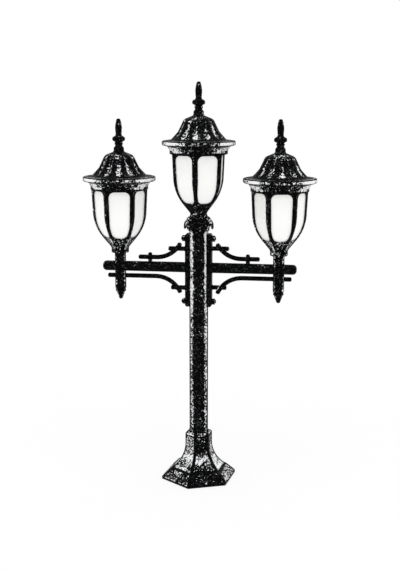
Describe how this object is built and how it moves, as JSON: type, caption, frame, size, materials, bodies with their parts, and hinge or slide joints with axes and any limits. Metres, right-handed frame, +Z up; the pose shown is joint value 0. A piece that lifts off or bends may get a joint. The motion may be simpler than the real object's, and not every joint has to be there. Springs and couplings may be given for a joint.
{
  "type": "outdoor post light",
  "caption": "Black cast-metal garden post light with a six-sided flared base, scrolled side arms and six-sided tulip lanterns with opal panes under fluted roofs.",
  "frame": {"origin": "middle of the ground flange's underside, on the post's axis", "axes": "+Z up the post, +X along the right arm, -Y towards the viewer"},
  "size_m": [0.735, 0.2458, 1.2735],
  "materials": {
    "black_paint": "black textured outdoor paint on cast and tubular metal",
    "opal_panes": "opal white acrylic sheet",
    "zinc_steel": "zinc plated steel",
    "brass": "plain brass",
    "white_holder": "white lampholder body",
    "opal_lamp": "opal lamp bulb",
    "black_rubber": "black rubber"
  },
  "bodies": {
    "post": {"ground_flange": "zinc_steel", "cable_grommet": "black_rubber", "pole": "black_paint", "crown": "black_paint", "bracket_studs": "black_paint", "bracket_washers": "black_paint", "bracket_nuts": "black_paint", "left_bracket_plate": "black_paint", "left_arm": "black_paint", "left_arm_cap": "black_paint", "left_upper_scroll": "black_paint", "left_lower_scroll": "black_paint", "left_scroll_stubs": "black_paint", "left_scroll_peg": "black_paint", "left_lantern_stem": "black_paint", "left_drop_stem": "black_paint", "left_drop_finial": "black_paint", "right_bracket_plate": "black_paint", "right_arm": "black_paint", "right_arm_cap": "black_paint", "right_upper_scroll": "black_paint", "right_lower_scroll": "black_paint", "right_scroll_stubs": "black_paint", "right_scroll_peg": "black_paint", "right_lantern_stem": "black_paint", "right_drop_stem": "black_paint", "right_drop_finial": "black_paint", "centre_cage": "black_paint", "centre_panes": "opal_panes", "centre_roof_gasket": "black_rubber", "centre_harp": "zinc_steel", "centre_lampholder": "white_holder", "centre_lamp": "opal_lamp", "centre_lamp_pipe": "brass", "left_cage": "black_paint", "left_panes": "opal_panes", "left_roof_gasket": "black_rubber", "left_harp": "zinc_steel", "left_lampholder": "white_holder", "left_lamp": "opal_lamp", "left_lamp_pipe": "brass", "right_cage": "black_paint", "right_panes": "opal_panes", "right_roof_gasket": "black_rubber", "right_harp": "zinc_steel", "right_lampholder": "white_holder", "right_lamp": "opal_lamp", "right_lamp_pipe": "brass", "roof_bolts": "zinc_steel", "pipe_nuts": "brass"},
    "base_cover": {"base_cover": "black_paint"},
    "centre_roof": {"centre_roof": "black_paint"},
    "centre_finial": {"centre_finial": "black_paint"},
    "left_roof": {"left_roof": "black_paint"},
    "left_finial": {"left_finial": "black_paint"},
    "right_roof": {"right_roof": "black_paint"},
    "right_finial": {"right_finial": "black_paint"}
  },
  "joints": [
    {"name": "base_cover_slide", "type": "slide", "parent": "post", "child": "base_cover", "axis": [0, 0, 1], "range_m": [0, 0.4]},
    {"name": "centre_roof_lift", "type": "slide", "parent": "post", "child": "centre_roof", "axis": [0, 0, 1], "range_m": [0, 0.16]},
    {"name": "centre_finial_turn", "type": "hinge", "parent": "centre_roof", "child": "centre_finial", "pos_m": [0, 0, 1.174], "axis": [0, 0, 1], "continuous": true},
    {"name": "left_roof_lift", "type": "slide", "parent": "post", "child": "left_roof", "axis": [0, 0, 1], "range_m": [0, 0.16]},
    {"name": "left_finial_turn", "type": "hinge", "parent": "left_roof", "child": "left_finial", "pos_m": [-0.253, 0, 1.061], "axis": [0, 0, 1], "continuous": true},
    {"name": "right_roof_lift", "type": "slide", "parent": "post", "child": "right_roof", "axis": [0, 0, 1], "range_m": [0, 0.16]},
    {"name": "right_finial_turn", "type": "hinge", "parent": "right_roof", "child": "right_finial", "pos_m": [0.253, 0, 1.061], "axis": [0, 0, 1], "continuous": true}
  ]
}
